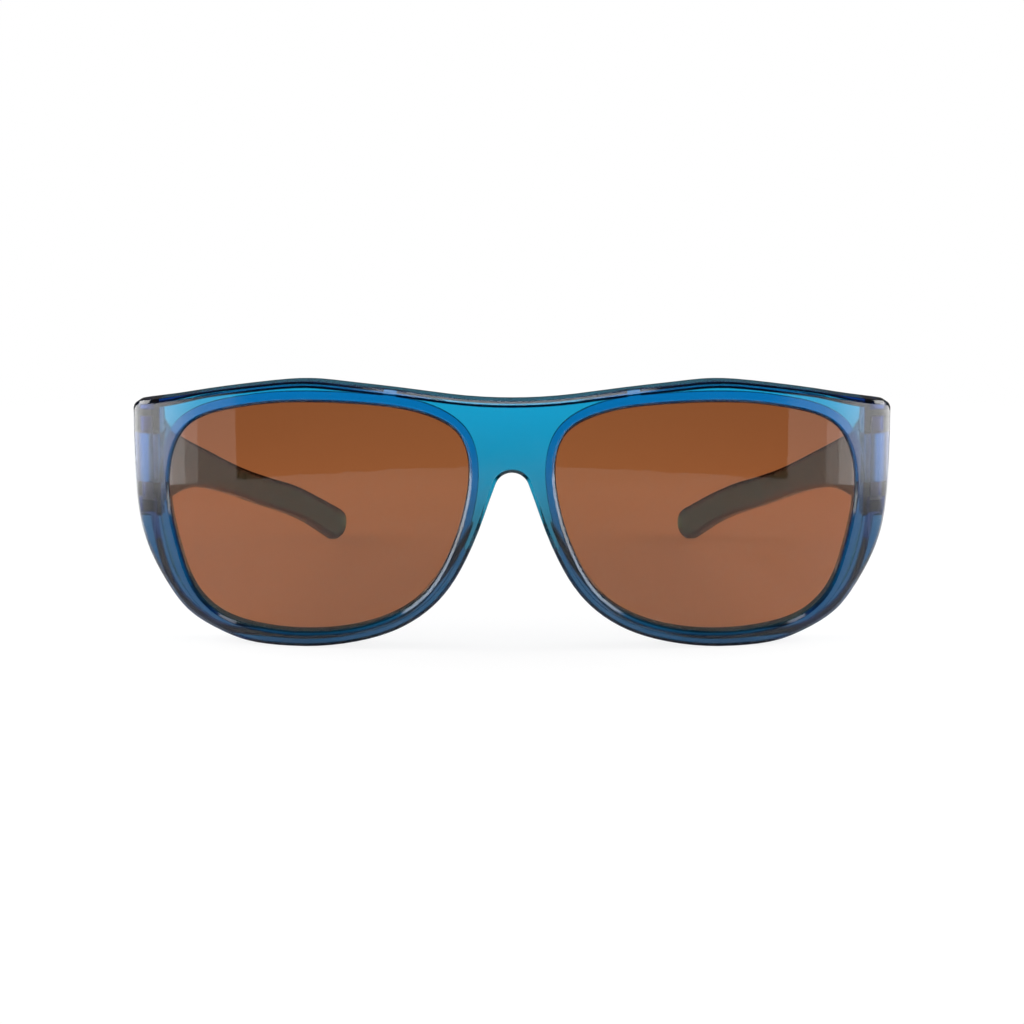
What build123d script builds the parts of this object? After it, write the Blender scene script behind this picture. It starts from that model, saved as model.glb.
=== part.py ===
from build123d import *
from math import cos, degrees, hypot, radians, sin, sqrt
import os

# Fitover sunglasses, standing open on a table.
# +Z is up, the lenses face -Y, the temples run back along +Y, and +X is the wearer's left.
# The origin is on the table, at the middle of the width and of the depth. Lengths are in millimetres.

# Overall size
overall_width = 147.2
overall_height = 51.2
overall_depth = 136.0
half_width = overall_width / 2
front_y = -overall_depth / 2

# Front moulding: a curved plate with walls behind it
front_radius = 220.0
plate_thickness = 2.6
side_wall = 1.85
brow_wall = 1.3
rim_wall = 1.2
front_reach = 8.6
end_depth = 7.32
corner_radius = 6.5
corner_overhang = 0.6
top_corner_radius = 1.8
front_bevel = 0.7
nose_arch_radius = 3.3
nose_arch_angle = 69.0
wall_lean_out_share = 0.12
wall_lean_down_share = 0.16
wall_line_depth = 7.0
edge_thickness = 4.6

# What is left of the plate round each lens, and the thicker collar that holds the lens
bridge_width = 16.5
rim_outer_width = 7.45
rim_top_width = 4.0
rim_bottom_width = 3.0
collar_width = 2.0
collar_depth = 4.8

# Lenses
lens_thickness = 1.3
lens_inset = 0.7
groove_depth = 0.45
lens_clearance = 0.05

# Hinges: knuckles of the moulding round a steel screw, below the front's top corner
hinge_inset = 3.7
knuckle_radius = 2.05
knuckle_clearance = 0.35
knuckle_gap = 0.2
knuckle_drop = 1.94
upper_knuckle_height = 4.2
middle_knuckle_height = 9.6
lower_knuckle_height = 6.6
screw_radius = 0.8
screw_head_radius = 1.25
screw_head_height = 0.6
screw_head_recess = 3.4
screw_end_cover = 1.2
screw_clearance = 0.05
slot_width = 0.35
slot_depth = 0.3

# Temples
temple_gap = 0.3
temple_thickness = 2.6
temple_radius = 360.0
temple_heading = 4.0
temple_bevel = 0.6
temple_web_length = 11.0
temple_root_length = 22.0
temple_root_angle = 20.0
temple_tip_radius = 3.7
temple_tip_angle = 24.0
temple_heel_angle = 27.0

# One overrun for every cut
overrun = 5.0

# Outline of the front, from the middle of the brow to its peak, in shares of half_width and overall_height
brow_middle_share = 0.934
brow_inner_shares = [(0.134, 0.943), (0.239, 0.961), (0.3435, 0.978), (0.449, 0.993)]
brow_peak_share = 0.528
brow_outer_shares = [(0.610, 0.992), (0.690, 0.977), (0.799, 0.953)]
brow_end_share = (0.905, 0.926)
top_corner_share = 0.905
side_foot_share = 0.80
side_shares = [(0.996, 0.600), (0.983, 0.450), (0.949, 0.315), (0.904, 0.203), (0.857, 0.122), (0.770, 0.049)]
bottom_share = 0.565
nose_side_shares = [(0.4165, 0.0217), (0.290, 0.081), (0.1855, 0.194), (0.123, 0.331), (0.0812, 0.470)]
nose_arch_share = 0.669

# Outline of the visible lens, in shares of its half width (outward) and half height (up)
lens_shares = [
    (0.038, 1.0), (0.300, 0.984), (0.523, 0.940), (0.882, 0.750), (1.0, 0.355), (0.934, -0.333),
    (0.834, -0.662), (0.683, -0.856), (0.396, -0.976), (0.056, -1.0), (-0.721, -0.619), (-0.880, -0.267),
    (-0.967, 0.082), (-0.909, 0.773), (-0.779, 0.875), (-0.307, 0.988),
]

# Outer line of the wall behind each rim, from its point beside the nose round the bottom to the hinge,
# and how its thickness grows from nothing at that point
rim_wall_shares = [
    (0.1053, 0.469), (0.1235, 0.397), (0.1547, 0.310), (0.1937, 0.231), (0.2718, 0.120), (0.350, 0.070),
    (0.454, 0.034), (0.558, 0.025), (0.663, 0.035), (0.742, 0.053), (0.8105, 0.1065), (0.855, 0.164),
    (0.891, 0.241), (0.919, 0.357), (0.931, 0.454), (0.934, 0.505),
]
rim_wall_growth_shares = [0.0, 0.6] + [1.0] * (len(rim_wall_shares) - 2)
rim_wall_rise_share = 0.100
rim_wall_full_share = 0.353
edge_line_share = 0.5

# Side view of a temple, in shares of the depth behind the hinge line and of overall_height
temple_upper_shares = [(0.07, 0.850), (0.14, 0.765), (0.245, 0.678), (0.376, 0.590), (0.514, 0.490), (0.690, 0.377)]
temple_lower_shares = [(0.155, 0.478), (0.276, 0.473), (0.351, 0.446), (0.491, 0.373), (0.638, 0.277), (0.836, 0.134)]

lens_half_width = (half_width - rim_outer_width - bridge_width / 2) / 2
lens_half_height = (overall_height - rim_top_width - rim_bottom_width) / 2
lens_centre_x = bridge_width / 2 + lens_half_width
lens_centre_z = rim_bottom_width + lens_half_height

upper_knuckle_top = top_corner_share * overall_height - knuckle_drop
upper_knuckle_bottom = upper_knuckle_top - upper_knuckle_height
lower_knuckle_top = upper_knuckle_bottom - middle_knuckle_height
lower_knuckle_bottom = lower_knuckle_top - lower_knuckle_height
screw_seat = lower_knuckle_bottom + screw_head_recess
screw_end = upper_knuckle_top - screw_end_cover


def plan(height):
    """Plane seen from above at a height, with its origin under the foremost point of the front."""
    return Plane(origin=(0, front_y, height), x_dir=(1, 0, 0), z_dir=(0, 0, 1))


def elevation(depth):
    """Plane seen from the front at a depth behind the foremost point; extruding by a minus length goes back."""
    return Plane(origin=(0, front_y + depth, 0), x_dir=(1, 0, 0), z_dir=(0, -1, 0))


def profile(x):
    """Plane seen from the left side, for the side view of a temple; its x runs back from the hinge line."""
    return Plane(origin=(x, hinge_y, 0), x_dir=(0, 1, 0), z_dir=(1, 0, 0))


def scaled(shares):
    """Points of the front's outline in millimetres."""
    return [(x * half_width, z * overall_height) for x, z in shares]


def sag(x, depth=0.0):
    """How far a point of the curved front, or of a line at a depth behind it, lies behind the foremost point."""
    return front_radius - sqrt((front_radius - depth) ** 2 - x * x)


hinge_line = sag(half_width) + end_depth
hinge_x = half_width - hinge_inset
hinge_y = front_y + hinge_line
temple_length = overall_depth - hinge_line


def normals(points, closed):
    """Unit vectors to the left of the way along the points."""
    count = len(points)
    found = []
    for i in range(count):
        before = points[i - 1] if closed or i > 0 else points[i]
        after = points[(i + 1) % count] if closed or i < count - 1 else points[i]
        run, rise = after[0] - before[0], after[1] - before[1]
        found.append((-rise / hypot(run, rise), run / hypot(run, rise)))
    return found


def lens_outline(growth):
    """Points of the lens outline, moved outward by a growth."""
    points = [(lens_centre_x + u * lens_half_width, lens_centre_z + v * lens_half_height) for u, v in lens_shares]
    return [(x + nx * growth, z + nz * growth) for (x, z), (nx, nz) in zip(points, normals(points, True))]


def plan_face(inset, side, radius, reach):
    """Half of the front in plan: the curved face, the rounded corner and the side, back to a reach."""
    with BuildSketch() as face:
        with BuildLine():
            middle = (side / 2, sag(side / 2, inset))
            rear_middle = (side / 2, sag(side / 2, reach))
            ThreePointArc((0, inset), middle, (side, sag(side, inset)))
            Line((side, sag(side, inset)), (side, sag(side, reach)))
            ThreePointArc((side, sag(side, reach)), rear_middle, (0, reach))
            Line((0, reach), (0, inset))
        make_face()
        fillet(face.vertices().sort_by_distance((side, sag(side, inset)))[0], radius)
    return face.sketch


def front_outline():
    """Right half, seen from the front, of the whole front's outline."""
    peak = (brow_peak_share * half_width, overall_height)
    low = (bottom_share * half_width, 0)
    brow_end, foot = scaled([brow_end_share, (1, side_foot_share)])
    top_corner = (half_width, top_corner_share * overall_height)
    end_slope = (top_corner[0] - brow_end[0], top_corner[1] - brow_end[1])
    apex = nose_arch_share * overall_height
    turn = radians(nose_arch_angle)
    arch_foot = (nose_arch_radius * sin(turn), apex - nose_arch_radius * (1 - cos(turn)))
    arch_middle = (nose_arch_radius * sin(turn / 2), apex - nose_arch_radius * (1 - cos(turn / 2)))
    with BuildSketch() as face:
        with BuildLine():
            Spline((0, brow_middle_share * overall_height), *scaled(brow_inner_shares), peak,
                   tangents=((1, 0), (1, 0)))
            Spline(peak, *scaled(brow_outer_shares), brow_end, tangents=((1, 0), end_slope))
            Polyline(brow_end, top_corner, foot)
            Spline(foot, *scaled(side_shares), low, tangents=((0, -1), (-1, 0)))
            Spline(low, *scaled(nose_side_shares), arch_foot, tangents=((-1, 0), (-cos(turn), sin(turn))))
            ThreePointArc(arch_foot, arch_middle, (0, apex))
            Line((0, apex), (0, brow_middle_share * overall_height))
        make_face()
        fillet(face.vertices().sort_by_distance(top_corner)[0], top_corner_radius)
    return face.sketch


def pocket_outline():
    """Right half, seen from the front, of the hollow behind the plate, before its inner walls."""
    inner = half_width - side_wall
    top = [(x, z - brow_wall) for x, z in scaled(brow_inner_shares + [(brow_peak_share, 1)] + brow_outer_shares)]
    end = (inner, top_corner_share * overall_height - brow_wall)
    start = (0, brow_middle_share * overall_height - brow_wall)
    with BuildSketch() as face:
        with BuildLine():
            Spline(start, *top, end, tangents=((1, 0), (1, brow_end_share[1] - 1)))
            Polyline(end, (inner, -overrun), (0, -overrun), start)
        make_face()
    return face.sketch


def rim_wall_points(share):
    """Points of the wall's outer line, moved inward by a share of the wall's thickness."""
    line = scaled(rim_wall_shares)
    return [
        (x + nx * rim_wall * share * growth, z + nz * rim_wall * share * growth)
        for (x, z), (nx, nz), growth in zip(line, normals(line, False), rim_wall_growth_shares)
    ]


def rim_wall_outline():
    """The wall behind a rim, seen from the front: a crescent that starts as a point beside the nose."""
    outer, inner = rim_wall_points(0), rim_wall_points(1)
    with BuildSketch() as face:
        with BuildLine():
            Spline(*outer)
            Line(outer[-1], inner[-1])
            Spline(*reversed(inner))
        make_face()
    return face.sketch


def rim_wall_rise():
    """What is cut off the rim wall beside the nose, in plan, so that it rises from the plate without a step."""
    start, end = rim_wall_rise_share * half_width, rim_wall_full_share * half_width
    low = (start, sag(start, plate_thickness))
    full = (end, sag(end, front_reach + overrun))
    with BuildSketch() as face:
        with BuildLine():
            Spline(low, full, tangents=((1, 0), (1, 1)))
            Polyline(full, (full[0], hinge_line), (0, hinge_line), (0, plate_thickness), low)
        make_face()
    return face.sketch


def edge_outline():
    """The strip of the front outside the rim wall, seen from the front, and what lies beyond it."""
    line = rim_wall_points(edge_line_share)[1:]
    far = half_width + overrun
    with BuildSketch() as face:
        with BuildLine():
            Spline(*line)
            Polyline(line[-1], (far, line[-1][1]), (far, -overrun), (0, -overrun), line[0])
        make_face()
    return face.sketch


def hinge_block(bottom, top):
    """The moulding's block round a frame knuckle, seen from the front."""
    with BuildSketch() as face:
        with BuildLine():
            Polyline((hinge_x - knuckle_radius, bottom), (half_width, bottom), (half_width, top),
                     (hinge_x - knuckle_radius, top), close=True)
        make_face()
    return face.sketch


# Outer volume of the right half
loaf_side = half_width + corner_overhang
with BuildPart() as loaf:
    with BuildSketch(plan(-overrun)):
        add(plan_face(0, loaf_side, corner_radius, front_reach))
    extrude(amount=overall_height + 2 * overrun)
    with BuildSketch(elevation(-overrun)):
        add(front_outline())
    extrude(amount=-(hinge_line + overrun), mode=Mode.INTERSECT)
    front_face, corner_face = loaf.faces().filter_by(GeomType.CYLINDER).sort_by(SortBy.AREA)[:-3:-1]
    outer_edges = (front_face.edges() - corner_face.edges()) + (corner_face.edges() - front_face.edges())
    chamfer(outer_edges.filter_by_position(Axis.X, front_bevel, half_width), front_bevel)

# The lens and its groove come from one outline and one curved band
lens_back = lens_inset + lens_thickness


def curved_band(near, far):
    """Band between two lines at depths behind the curved front, in plan."""
    side = half_width - side_wall
    with BuildSketch() as face:
        with BuildLine():
            ThreePointArc((0, near), (side / 2, sag(side / 2, near)), (side, sag(side, near)))
            Line((side, sag(side, near)), (side, sag(side, far)))
            ThreePointArc((side, sag(side, far)), (side / 2, sag(side / 2, far)), (0, far))
            Line((0, far), (0, near))
        make_face()
    return face.sketch


def lens_solid(growth, near, far):
    """A curved sheet with the lens outline, grown by a length, between two depths behind the front."""
    with BuildPart() as sheet:
        with BuildSketch(elevation(-overrun)):
            with BuildLine():
                Spline(*lens_outline(growth), periodic=True)
            make_face()
        extrude(amount=-(hinge_line + overrun))
        with BuildSketch(plan(-overrun)):
            add(curved_band(near, far))
        extrude(amount=overall_height + 2 * overrun, mode=Mode.INTERSECT)
    return sheet.part


# The wall behind a rim leans outward and down, and rises from the plate beside the nose
with BuildPart() as rim_wall_body:
    with BuildSketch(elevation(wall_line_depth)) as rim_wall_line:
        add(rim_wall_outline())
    lean = Vector(wall_lean_out_share, 1, -wall_lean_down_share)
    extrude(rim_wall_line.sketch, amount=hinge_line, dir=lean, both=True)
    with BuildSketch(plan(-overrun)):
        add(rim_wall_rise())
    extrude(amount=overall_height + overrun, mode=Mode.SUBTRACT)

# Outside the rim wall the plate is thicker
with BuildPart() as edge_body:
    with BuildSketch(elevation(0)):
        add(edge_outline())
    extrude(amount=-(hinge_line + overrun))
    with BuildSketch(plan(-overrun)):
        add(curved_band(0, edge_thickness))
    extrude(amount=overall_height + 2 * overrun, mode=Mode.INTERSECT)

# The hollow behind the plate leaves the rim wall, the edge, the lens collar and the hinge blocks standing
with BuildPart() as pocket:
    with BuildSketch(elevation(0)):
        add(pocket_outline())
    extrude(amount=-(hinge_line + overrun))
    with BuildSketch(plan(-overrun)):
        add(plan_face(plate_thickness, half_width - side_wall, corner_radius - side_wall, hinge_line))
    extrude(amount=overall_height + 2 * overrun, mode=Mode.INTERSECT)
    for body in (rim_wall_body.part, edge_body.part, lens_solid(collar_width, 0, collar_depth)):
        add(body, mode=Mode.SUBTRACT)
    with BuildSketch(elevation(0)):
        add(hinge_block(lower_knuckle_bottom, lower_knuckle_top))
        add(hinge_block(upper_knuckle_bottom, overall_height))
    extrude(amount=-(hinge_line + overrun), mode=Mode.SUBTRACT)

with BuildPart() as left_lens:
    add(lens_solid(groove_depth - lens_clearance, lens_inset, lens_back))

with BuildPart() as right_lens:
    mirror(left_lens.part, about=Plane.YZ)

# Front frame: half of it, then its mirror image
with BuildPart() as front_half:
    add(loaf.part)
    add(pocket.part, mode=Mode.SUBTRACT)
    with BuildSketch(Plane(origin=(hinge_x, hinge_y, lower_knuckle_bottom))):
        Circle(knuckle_radius)
    extrude(amount=lower_knuckle_top - lower_knuckle_bottom)
    with BuildSketch(Plane(origin=(hinge_x, hinge_y, upper_knuckle_bottom))):
        Circle(knuckle_radius)
    extrude(amount=upper_knuckle_top - upper_knuckle_bottom)
    with BuildSketch(Plane(origin=(hinge_x, hinge_y, lower_knuckle_top))):
        Circle(knuckle_radius + knuckle_clearance)
    extrude(amount=upper_knuckle_bottom - lower_knuckle_top, mode=Mode.SUBTRACT)
    with BuildSketch(Plane(origin=(hinge_x, hinge_y, lower_knuckle_bottom - overrun))):
        Circle(screw_head_radius + screw_clearance)
    extrude(amount=screw_seat - lower_knuckle_bottom + overrun, mode=Mode.SUBTRACT)
    with BuildSketch(Plane(origin=(hinge_x, hinge_y, lower_knuckle_bottom))):
        Circle(screw_radius + screw_clearance)
    extrude(amount=screw_end + screw_clearance - lower_knuckle_bottom, mode=Mode.SUBTRACT)
    add(lens_solid(0, -overrun, collar_depth + overrun), mode=Mode.SUBTRACT)
    opening_face = front_half.faces().filter_by(GeomType.CYLINDER).sort_by(SortBy.AREA)[-1]
    chamfer(opening_face.inner_wires()[0].edges(), lens_inset)
    add(lens_solid(groove_depth, lens_inset - lens_clearance, lens_back + lens_clearance), mode=Mode.SUBTRACT)

with BuildPart() as front_frame:
    add(front_half.part)
    mirror(front_half.part, about=Plane.YZ)

# Hinge screws, from below, with a slotted head
with BuildPart() as left_hinge_screw:
    with BuildSketch(Plane(origin=(hinge_x, hinge_y, screw_seat - screw_head_height))):
        Circle(screw_head_radius)
    extrude(amount=screw_head_height)
    with BuildSketch(Plane(origin=(hinge_x, hinge_y, screw_seat))):
        Circle(screw_radius)
    extrude(amount=screw_end - screw_seat)
    with BuildSketch(Plane(origin=(hinge_x, hinge_y, screw_seat - screw_head_height))):
        Rectangle(2 * screw_head_radius, slot_width)
    extrude(amount=slot_depth, mode=Mode.SUBTRACT)

with BuildPart() as right_hinge_screw:
    mirror(left_hinge_screw.part, about=Plane.YZ)


def temple_band():
    """The temple in plan: a bow of even thickness that starts flush with the front's side."""
    heading = radians(temple_heading)
    inward = (-cos(heading) * temple_thickness, -sin(heading) * temple_thickness)
    turn = degrees((temple_length + 4 * overrun) / temple_radius)
    start = (half_width, hinge_line - overrun)
    inner_start = (start[0] + inward[0], start[1] + inward[1])
    along = (-sin(heading), cos(heading))
    with BuildSketch() as face:
        with BuildLine():
            outer = JernArc(start, along, temple_radius, turn)
            inner = JernArc(inner_start, along, temple_radius - temple_thickness, turn)
            Line(outer @ 0, inner @ 0)
            Line(outer @ 1, inner @ 1)
        make_face()
    return face.sketch


def temple_outline():
    """The temple in side view, from its tall root to its drooping tip on the table."""
    def points(shares):
        return [(y * temple_length, z * overall_height) for y, z in shares]
    root_top = (temple_gap, top_corner_share * overall_height)
    root_bottom = (temple_gap, lower_knuckle_bottom)
    fall, rise = radians(temple_tip_angle), radians(temple_heel_angle)
    centre = (temple_length - temple_tip_radius, temple_tip_radius)
    neck = (centre[0] + temple_tip_radius * sin(fall), centre[1] + temple_tip_radius * cos(fall))
    heel = (centre[0] - temple_tip_radius * sin(rise), centre[1] - temple_tip_radius * cos(rise))
    with BuildSketch() as face:
        with BuildLine():
            Spline(root_top, *points(temple_upper_shares), neck,
                   tangents=((1, -sin(radians(temple_root_angle))), (cos(fall), -sin(fall))))
            ThreePointArc(neck, (temple_length, temple_tip_radius), heel)
            Spline(heel, *reversed(points(temple_lower_shares)), root_bottom,
                   tangents=((-cos(rise), sin(rise)), (-1, 0)))
            Line(root_bottom, root_top)
        make_face()
    return face.sketch


def outside_front_outline():
    """What lies outside the front's outline beside a hinge, seen from the front."""
    with BuildSketch() as face:
        with BuildLine():
            Polyline((hinge_x, 0), (half_width + overrun, 0), (half_width + overrun, overall_height + overrun),
                     (hinge_x, overall_height + overrun), close=True)
        make_face()
        add(front_outline(), mode=Mode.SUBTRACT)
    return face.sketch


# Left temple: its plan and its side view together, then the hinge knuckle and the web that carries it
knuckle_low = lower_knuckle_top + knuckle_gap
knuckle_high = upper_knuckle_bottom - knuckle_gap
with BuildPart() as left_temple:
    with BuildSketch(plan(-overrun)):
        add(temple_band())
    extrude(amount=overall_height + 2 * overrun)
    with BuildSketch(profile(0)):
        add(temple_outline())
    extrude(amount=half_width + overrun, mode=Mode.INTERSECT)
    sides = left_temple.faces().filter_by(GeomType.CYLINDER).sort_by(SortBy.AREA)[-2:]
    long_edges = (sides[0].edges() + sides[1].edges()).filter_by(Axis.Z, reverse=True)
    chamfer(long_edges, temple_bevel)
    with BuildSketch(elevation(0)):
        add(outside_front_outline())
    extrude(amount=-(hinge_line + temple_root_length), mode=Mode.SUBTRACT)
    for bottom, top in ((lower_knuckle_bottom - overrun, lower_knuckle_top),
                        (upper_knuckle_bottom, upper_knuckle_top)):
        with BuildSketch(Plane(origin=(hinge_x, hinge_y, bottom - knuckle_gap))):
            Circle(knuckle_radius + knuckle_clearance)
        extrude(amount=top - bottom + 2 * knuckle_gap, mode=Mode.SUBTRACT)
    with BuildSketch(Plane(origin=(hinge_x, hinge_y, knuckle_low))) as web:
        Circle(knuckle_radius)
        with BuildLine():
            Polyline((-knuckle_radius, 0), (-knuckle_radius, knuckle_radius),
                     (0, temple_web_length), (knuckle_radius, temple_web_length),
                     (knuckle_radius, temple_gap), (0, temple_gap), close=True)
        make_face()
    extrude(amount=knuckle_high - knuckle_low)
    with BuildSketch(Plane(origin=(hinge_x, hinge_y, knuckle_low))):
        Circle(screw_radius + screw_clearance)
    extrude(amount=knuckle_high - knuckle_low, mode=Mode.SUBTRACT)

with BuildPart() as right_temple:
    mirror(left_temple.part, about=Plane.YZ)

os.makedirs("parts", exist_ok=True)
for piece, name in (
    (front_frame, "front_frame"),
    (left_lens, "left_lens"),
    (right_lens, "right_lens"),
    (left_temple, "left_temple"),
    (right_temple, "right_temple"),
    (left_hinge_screw, "left_hinge_screw"),
    (right_hinge_screw, "right_hinge_screw"),
):
    piece.part.label = name
    export_step(piece.part, f"parts/{name}.step")
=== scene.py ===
from math import cos, log, pi, radians, sin
import bpy
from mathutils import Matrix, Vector


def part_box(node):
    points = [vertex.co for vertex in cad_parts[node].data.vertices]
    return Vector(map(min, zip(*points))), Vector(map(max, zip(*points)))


# %% [markdown]
# Fitover sunglasses stand open on a white table. They are worn over prescription glasses, so
# their front is deep and wraps round to the temples. The front, the lenses, the temples and the
# hinge screws come ready made, each as its own node, and all of them keep their shape here. The
# lesson is about finishes and light: clear coloured plastic has almost no colour of its own
# surface, it shows what is behind it through a tint that grows with thickness.

# %% Load the frame
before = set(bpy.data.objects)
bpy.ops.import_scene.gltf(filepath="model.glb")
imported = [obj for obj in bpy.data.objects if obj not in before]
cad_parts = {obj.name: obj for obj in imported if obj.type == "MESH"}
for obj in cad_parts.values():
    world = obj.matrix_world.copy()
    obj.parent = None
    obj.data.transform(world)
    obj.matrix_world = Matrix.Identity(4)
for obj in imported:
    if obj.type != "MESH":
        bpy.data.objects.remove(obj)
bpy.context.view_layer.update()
front_low, front_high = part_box("front_frame")

# %% [markdown]
# The camera stands in front of the bridge, a little above it and quite near, so that the
# temples run away from it and draw together. It could be set by a place and three turns, but it
# is easier to correct when it is placed by its distance from the front and its angle above the
# table, which are the two things that a photographer would note down.

# %% Camera
camera_distance = 0.450
camera_rise = radians(8.75)
camera_focal_length = 83.6
middle_height = 0.02685
aim = Vector((0, front_low.y, middle_height))
towards_camera = Vector((0, -cos(camera_rise), sin(camera_rise)))
camera_data = bpy.data.cameras.new("camera")
camera_data.sensor_width = 36.0
camera_data.lens = camera_focal_length
camera_data.clip_start = 0.01
camera = bpy.data.objects.new("camera", camera_data)
camera.location = aim + towards_camera * camera_distance
camera.rotation_euler = (-towards_camera).to_track_quat("-Z", "Y").to_euler()
bpy.context.scene.collection.objects.link(camera)
bpy.context.scene.camera = camera
bpy.context.scene.view_settings.view_transform = "Standard"
print("camera at", [round(v, 3) for v in camera.location])


# %% [markdown]
# Every finish below is a small network of nodes. Written out node by node they would all look
# alike, so one helper adds a node, sets the values of its sockets and links what feeds it, and
# a few more stand for the nodes that come back most: a place on the object, a ramp, a sum and a
# blend of two shaders.

# %% Helpers for node networks
def add_node(tree, kind, links=(), **values):
    """Adds a node; values set its sockets by name, links are (socket name, output socket)."""
    node = tree.nodes.new(kind)
    for name, value in values.items():
        node.inputs[name.replace("_", " ")].default_value = value
    for name, output in links:
        tree.links.new(output, node.inputs[name])
    return node


def object_place(tree):
    """The place on the object, in metres."""
    return add_node(tree, "ShaderNodeTexCoord").outputs["Object"]


def ramp(tree, value, start, end, first, last):
    """Runs from first to last while the value runs from start to end, and stays there."""
    node = add_node(tree, "ShaderNodeMapRange", [("Value", value)],
                    From_Min=start, From_Max=end, To_Min=first, To_Max=last)
    return node.outputs["Result"]


def calculate(tree, operation, first, second, kind="ShaderNodeMath"):
    """One sum; each of its two terms is an output socket or a fixed number or vector."""
    node = tree.nodes.new(kind)
    node.operation = operation
    for socket, term in zip(node.inputs, (first, second)):
        if isinstance(term, bpy.types.NodeSocket):
            tree.links.new(term, socket)
        else:
            socket.default_value = term
    return node.outputs[0]


def vector_length(tree, vector):
    """How long a vector is."""
    node = add_node(tree, "ShaderNodeVectorMath", [(0, vector)])
    node.operation = "LENGTH"
    return node.outputs["Value"]


def blend(tree, share, first, second):
    """The first shader where the share is zero, the second where it is one."""
    node = add_node(tree, "ShaderNodeMixShader", [(0, share), (1, first), (2, second)])
    return node.outputs[0]


# %% Helpers for materials
def empty_material(name):
    """A material with nodes and nothing in it but its output."""
    material = bpy.data.materials.new(name)
    material.use_nodes = True
    material.node_tree.nodes.clear()
    output = material.node_tree.nodes.new("ShaderNodeOutputMaterial")
    return material, material.node_tree, output


def give(node_names, material):
    """Puts one material on whole nodes of the frame."""
    for name in node_names:
        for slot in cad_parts[name].material_slots:
            slot.material = material
        print(name, "has", material.name)


# %% [markdown]
# A moulded surface is polished, but it isn't perfect. The mould leaves a faint waviness, which
# breaks up the reflections, its edges are a little rounded, and fingers leave patches that are
# duller than the rest. A painted picture could show all that, but noise does it at any scale
# and on every side, and the rounding comes from a bevel in the shader, so no shape changes.

# %% Surface of moulded plastic
def surface_waves(tree, size, height, edge_radius):
    """Faint waviness on softened edges, as a normal."""
    waves = add_node(tree, "ShaderNodeTexNoise", [("Vector", object_place(tree))],
                     Scale=1 / size, Detail=2.0)
    edge = add_node(tree, "ShaderNodeBevel", Radius=edge_radius)
    edge.samples = 6
    bump = add_node(tree, "ShaderNodeBump",
                    [("Height", waves.outputs["Fac"]), ("Normal", edge.outputs["Normal"])],
                    Strength=0.3, Distance=height)
    return bump.outputs["Normal"]


def handling_marks(tree, size, least, most):
    """Roughness that varies softly over the surface."""
    marks = add_node(tree, "ShaderNodeTexNoise", [("Vector", object_place(tree))],
                     Scale=1 / size, Detail=4.0)
    return ramp(tree, marks.outputs["Fac"], 0.35, 0.7, least, most)


# %% [markdown]
# The front doesn't look equally clear all over. Low in the rims it looks darker, because the
# table seen through it there lies in the object's shade, and that shade is painted in as a smoky
# tint. The narrow ends of the walls behind the front look dark too, and that is painted shade as
# well: a dark matt colour on the wall ends draws dark bands round the rims. More absorption would
# darken the thin parts too, so both are masks of place: height for the painted shade at the foot,
# and for the wall ends the distance from the upright line that the front is bent round.

# %% Painted shade on the wall ends and low in the rims
def wall_end_shade_mask(tree, axis_y, clear_radius, full_shade_radius):
    """Painted shade mask: one on the ends of the walls behind the front, which lie nearest its axis,
    and zero elsewhere.
    """
    from_axis = calculate(tree, "SUBTRACT", object_place(tree), (0, axis_y, 0), "ShaderNodeVectorMath")
    level = calculate(tree, "MULTIPLY", from_axis, (1, 1, 0), "ShaderNodeVectorMath")
    return ramp(tree, vector_length(tree, level), clear_radius, full_shade_radius, 0.0, 1.0)


def painted_shade_foot(tree, low, high, painted_shade_tint):
    """White above the upper height, turning to a painted shade colour at the lower one, so darker
    towards the bottom.
    """
    height = add_node(tree, "ShaderNodeSeparateXYZ", [(0, object_place(tree))]).outputs["Z"]
    tint = add_node(tree, "ShaderNodeValToRGB", [("Fac", ramp(tree, height, low, high, 0.0, 1.0))])
    tint.color_ramp.elements[0].color = (*painted_shade_tint, 1)
    tint.color_ramp.elements[1].color = (1, 1, 1, 1)
    return tint.outputs["Color"]


# %% [markdown]
# Moulded clear plastic gets its colour inside. White light loses its red first, so a thin edge
# looks pale and a wall seen end-on looks deep blue. A coloured surface would be the same at
# every thickness, so the tint is absorption in the volume here, worked out from the share of
# red, green and blue that is left after a known depth. Lamps would need very many rays to
# shine through two faces of it, so for their shadows alone it is a plain coloured pane.

# %% Clear plastic with a tint that deepens with thickness
# Painted shade: the dark colour that the wall ends get in place of the shade seen through them.
wall_end_shade_colour = (0.012, 0.045, 0.08)
mark_size = 0.012
wave_size, wave_height = 0.006, 0.00002
soft_edge = 0.00025


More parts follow.
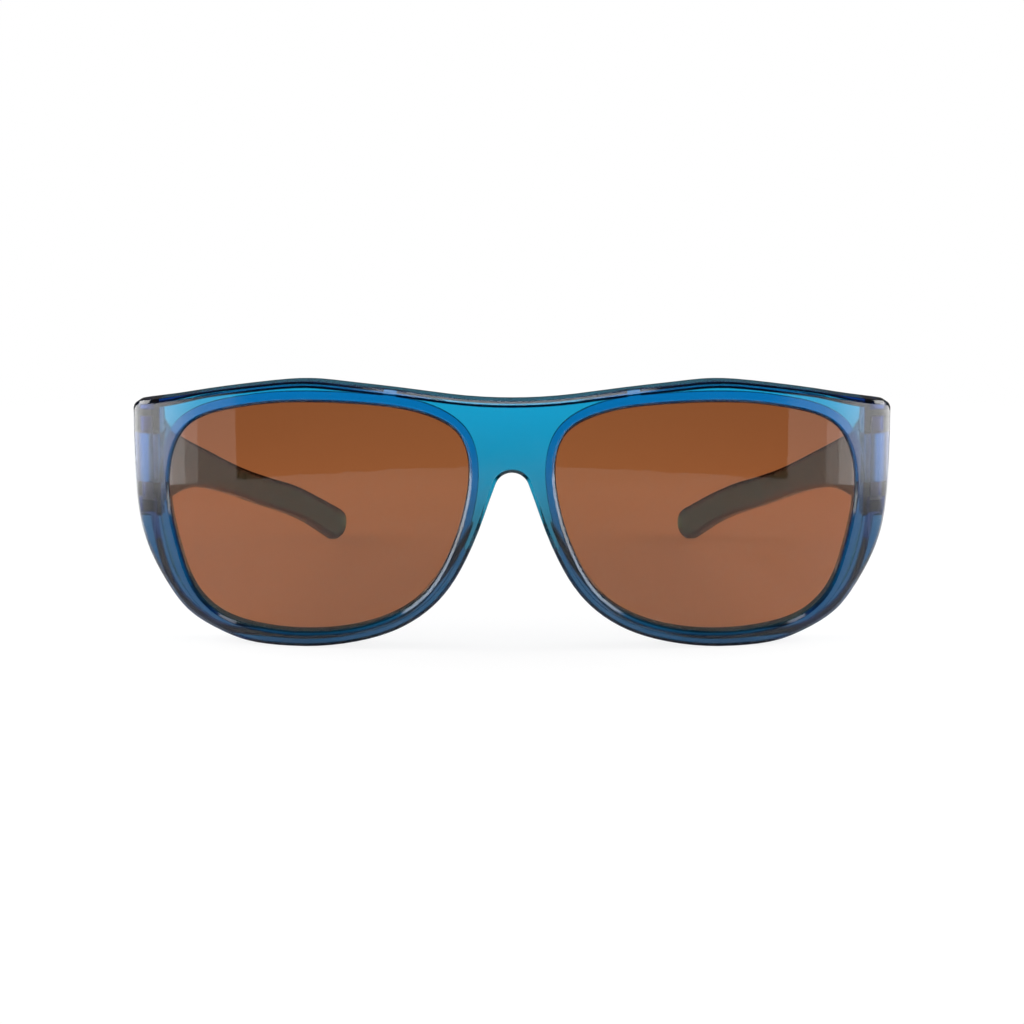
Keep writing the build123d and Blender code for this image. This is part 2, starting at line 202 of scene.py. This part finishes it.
def clear_plastic(name, kept_share, depth, ior, shadow, roughness, ends=None, foot=None):
    """Clear plastic that keeps a share of red, green and blue over a depth."""
    material, tree, output = empty_material(name)
    losses = [-log(share) / depth for share in kept_share]
    density = max(losses)
    colour = [1 - loss / density for loss in losses]
    solid = add_node(tree, "ShaderNodeBsdfPrincipled",
                     [("Roughness", handling_marks(tree, mark_size, *roughness)),
                      ("Normal", surface_waves(tree, wave_size, wave_height, soft_edge))],
                     Base_Color=(1, 1, 1, 1), IOR=ior, Transmission_Weight=1.0)
    # Painted shade: low in the rims the plastic is tinted darker towards the bottom.
    if foot:
        tree.links.new(painted_shade_foot(tree, *foot), solid.inputs["Base Color"])
    surface = solid.outputs[0]
    # Painted shade: the wall ends get a dark matt surface in place of clear plastic.
    if ends:
        matt = add_node(tree, "ShaderNodeBsdfDiffuse", Color=(*wall_end_shade_colour, 1))
        surface = blend(tree, wall_end_shade_mask(tree, *ends), surface, matt.outputs[0])
    inside = add_node(tree, "ShaderNodeVolumeAbsorption", Color=(*colour, 1), Density=density)
    pane = add_node(tree, "ShaderNodeBsdfTransparent", Color=(*shadow, 1))
    for_lamps = add_node(tree, "ShaderNodeLightPath").outputs["Is Shadow Ray"]
    tree.links.new(blend(tree, for_lamps, surface, pane.outputs[0]), output.inputs["Surface"])
    tree.links.new(inside.outputs[0], output.inputs["Volume"])
    print(name, "density", round(density), "colour", [round(c, 3) for c in colour])
    return material


# %% [markdown]
# The front and the temples are moulded from the same translucent blue. The temples get a
# slightly deeper one, because they are seen flat and through the lenses, where the real ones
# look nearly black. A depth of 3 mm is about the thickness of the walls, so the shares can be
# read off as colours.

# %% Blue front and temples
wall_depth = 0.0030
plastic_ior = 1.49
polished = (0.09, 0.13)
blue_shadow = (0.06, 0.35, 0.5)
front_axis_y = front_low.y + 0.220
# Painted shade on the wall ends: the axis, and the distances where it starts and where it is full.
wall_end_shade = (front_axis_y, 0.2120, 0.2115)
# Painted shade low in the rims: the height where it is full, the height where it ends, and its colour.
rim_painted_shade = (0.024, 0.046, (0.52, 0.40, 0.37))
front_blue = clear_plastic("front_blue", (0.0050, 0.37, 0.69), wall_depth, plastic_ior,
                           blue_shadow, polished, wall_end_shade, rim_painted_shade)
temple_blue = clear_plastic("temple_blue", (0.0040, 0.22, 0.42), wall_depth, plastic_ior,
                            blue_shadow, polished)
give(["front_frame"], front_blue)
give(["left_temple", "right_temple"], temple_blue)

# %% [markdown]
# The lenses are cut from sheet that is tinted right through in a warm brown, and polished more
# evenly than the moulding. The same recipe makes them, with the sheet's own thickness as the
# depth: one pass leaves about a third of the red, a ninth of the green and very little blue.

# %% Brown lenses
sheet_depth = 0.0013
sheet_ior = 1.50
evenly_polished = (0.0, 0.015)
brown_shadow = (0.3, 0.1, 0.03)
lens_brown = clear_plastic("lens_brown", (0.335, 0.112, 0.037), sheet_depth, sheet_ior,
                           brown_shadow, evenly_polished)
give(["left_lens", "right_lens"], lens_brown)


# %% [markdown]
# The hinge screws are turned steel, a grey metal with fine rings from the lathe. The rings are
# far too fine to cut into the mesh, so they are bands along the screw's axis in the bump.

# %% Steel screws
def turned_steel():
    """Grey metal with a fine ring pattern along Z."""
    material, tree, output = empty_material("turned_steel")
    rings = add_node(tree, "ShaderNodeTexWave", [("Vector", object_place(tree))],
                     Scale=2500.0, Distortion=1.0)
    rings.wave_type = "BANDS"
    rings.bands_direction = "Z"
    bump = add_node(tree, "ShaderNodeBump", [("Height", rings.outputs["Fac"])],
                    Strength=0.2, Distance=0.00002)
    metal = add_node(tree, "ShaderNodeBsdfPrincipled", [("Normal", bump.outputs["Normal"])],
                     Base_Color=(0.62, 0.62, 0.63, 1), Metallic=1.0, Roughness=0.28)
    tree.links.new(metal.outputs[0], output.inputs["Surface"])
    return material


give(["left_hinge_screw", "right_hinge_screw"], turned_steel())


# %% [markdown]
# Clear things show the room that stands round them, so the room is built with care. The table
# comes first: it shows through the plastic, and it is mirrored in the lenses, where its near
# rim draws the line across them. A square table would give that line corners, so it is oval.

# %% Table top
def table_top(half_width, half_depth, middle_y, corners):
    """A flat oval table top at height zero."""
    turns = [2 * pi * i / corners for i in range(corners)]
    mesh = bpy.data.meshes.new("table")
    rim = [(half_width * cos(t), middle_y + half_depth * sin(t), 0) for t in turns]
    mesh.from_pydata(rim, [], [range(corners)])
    table = bpy.data.objects.new("table", mesh)
    bpy.context.scene.collection.objects.link(table)
    return table


table = table_top(half_width=0.300, half_depth=0.385, middle_y=0.055, corners=160)
print("table", [round(v, 2) for v in table.dimensions])


# %% [markdown]
# The table is painted matt white. More light would make it as white as the backdrop, but it
# would bleach the plastic as well, so most of what is looked at directly is an even white
# instead, and the rest is real paint that takes the soft shadow. Further out it is all even
# white. Seen through plastic, it is dimmer close to the front, in the object's own shade.

# %% White table paint
white_strength = 1.03
shade_strength = 0.62
shade_start, shade_end = 0.02, 0.15


def white_paint(seen_share, through_share, shadow_reach):
    """Matt paint, of which the camera sees one share and rays through plastic see another."""
    material, tree, output = empty_material("white_paint")
    matt = add_node(tree, "ShaderNodeBsdfDiffuse", Color=(0.92, 0.92, 0.92, 1))
    path = add_node(tree, "ShaderNodeLightPath").outputs
    distance = vector_length(tree, object_place(tree))
    whiter = ramp(tree, distance, shadow_reach / 2, shadow_reach, 1 - seen_share, 1.0)
    seen = calculate(tree, "MULTIPLY", path["Is Camera Ray"], whiter)
    through = calculate(tree, "MULTIPLY", path["Is Transmission Ray"], 1 - through_share)
    shaded = ramp(tree, distance, shade_start, shade_end, shade_strength, white_strength)
    to_camera = calculate(tree, "MULTIPLY", path["Is Camera Ray"], white_strength)
    strength = calculate(tree, "MAXIMUM", to_camera, shaded)
    even = add_node(tree, "ShaderNodeEmission", [("Strength", strength)], Color=(1, 1, 1, 1))
    even_share = calculate(tree, "MAXIMUM", seen, through)
    both = blend(tree, even_share, matt.outputs[0], even.outputs[0])
    tree.links.new(both, output.inputs["Surface"])
    return material


table.data.materials.append(white_paint(seen_share=0.16, through_share=0.4, shadow_reach=0.24))
print("table has", table.data.materials[0].name)


# %% [markdown]
# The room is white wherever the camera looks past the object. Through plastic it is white only
# near the horizon and dark from a few degrees above it, as behind a low white screen, because
# thick plastic that bends its light upward looks dark on the real thing. Reflections find a
# dark room, which keeps the brown of the lenses deep, and a soft light from all round fills
# the rest. One sky colour for all rays could do none of this, so each kind gets its own.

# %% Room
def even_light(tree, strength):
    """White light of one strength from all round."""
    return add_node(tree, "ShaderNodeBackground", Color=(1, 1, 1, 1), Strength=strength).outputs[0]


screen_fade_start, screen_fade_end = 0.07, 0.14
world = bpy.data.worlds.new("room")
world.use_nodes = True
bpy.context.scene.world = world
room = world.node_tree
room.nodes.clear()
path = add_node(room, "ShaderNodeLightPath").outputs
direction = add_node(room, "ShaderNodeTexCoord").outputs["Generated"]
height = add_node(room, "ShaderNodeSeparateXYZ", [(0, direction)]).outputs["Z"]
screen = ramp(room, height, screen_fade_start, screen_fade_end, 1.0, 0.0)
through = calculate(room, "MULTIPLY", path["Is Transmission Ray"], screen)
looked_at = calculate(room, "MAXIMUM", path["Is Camera Ray"], through)
mirrored = calculate(room, "MAXIMUM", path["Is Glossy Ray"], path["Is Transmission Ray"])
unseen = blend(room, mirrored, even_light(room, 0.3), even_light(room, 0.05))
room_light = blend(room, looked_at, unseen, even_light(room, 1.0))
room_output = room.nodes.new("ShaderNodeOutputWorld")
room.links.new(room_light, room_output.inputs["Surface"])
print("room", room_output.inputs["Surface"].is_linked)


# %% [markdown]
# Three kinds of softbox light the sunglasses. One hangs high above and in front. Low strips
# stand in front at both sides, brighter step by step, and their reflections lay the pale veil
# over the outer part of each lens. Tall ones at the sides put the sheen on the rounded ends.
# A lamp is placed here by what it does in a reflection, so the strips and the side boxes are
# measured as turns seen from the front's corners. None of them is seen through the plastic.

# %% Softboxes
def softbox(name, place, look_at, width, height, brightness):
    """A rectangular area lamp, as bright as a white surface times its brightness."""
    data = bpy.data.lights.new(name, "AREA")
    data.shape = "RECTANGLE"
    data.size, data.size_y = width, height
    data.energy = brightness * pi * width * height
    lamp = bpy.data.objects.new(name, data)
    lamp.location = place
    lamp.rotation_euler = (Vector(look_at) - Vector(place)).to_track_quat("-Z", "Y").to_euler()
    lamp.visible_transmission = False
    bpy.context.scene.collection.objects.link(lamp)
    print(name, "at", [round(v, 2) for v in place], "watts", round(data.energy, 2))


def standing_panel(name, near, far, foot, top, brightness):
    """An upright softbox between two points of the plan, which faces the middle."""
    near, far = Vector((*near, 0)), Vector((*far, 0))
    along = far - near
    facing = Vector((-along.y, along.x, 0))
    middle = (near + far) / 2
    if facing.dot(middle) > 0:
        facing = -facing
    place = middle + Vector((0, 0, (foot + top) / 2))
    softbox(name, place, place + facing, along.length, top - foot, brightness)


corner_x, corner_y = 0.07, -0.056


def seen_from_corner(side, turn, distance):
    """The point of the plan that lies at a turn from straight ahead, seen from a front corner."""
    angle = radians(turn)
    return side * (corner_x + distance * sin(angle)), corner_y - distance * cos(angle)


softbox("top_softbox", (0, -0.12, 0.70), (0, -0.06, 0), width=0.16, height=0.36, brightness=4.0)

# %% Strips and side boxes
strip_foot, strip_top = -0.15, 0.06
side_foot, side_top = -0.12, 0.30
far_off, close_by = 0.50, 0.25
# Each strip: the turns where it starts and ends, the distance of its end, its brightness.
strips = [(32.5, 38.5, far_off, 1.0), (38.5, 40.5, far_off, 2.0), (40.5, 42.5, far_off, 3.5),
          (42.5, 75.0, close_by, 5.4)]
for side, word in ((1, "left"), (-1, "right")):
    for number, (start, end, end_distance, brightness) in enumerate(strips):
        standing_panel(f"strip_{word}_{number}", seen_from_corner(side, start, far_off),
                       seen_from_corner(side, end, end_distance), strip_foot, strip_top, brightness)
    standing_panel(f"side_softbox_{word}", seen_from_corner(side, 75, close_by),
                   seen_from_corner(side, 130, close_by), side_foot, side_top, 6.0)
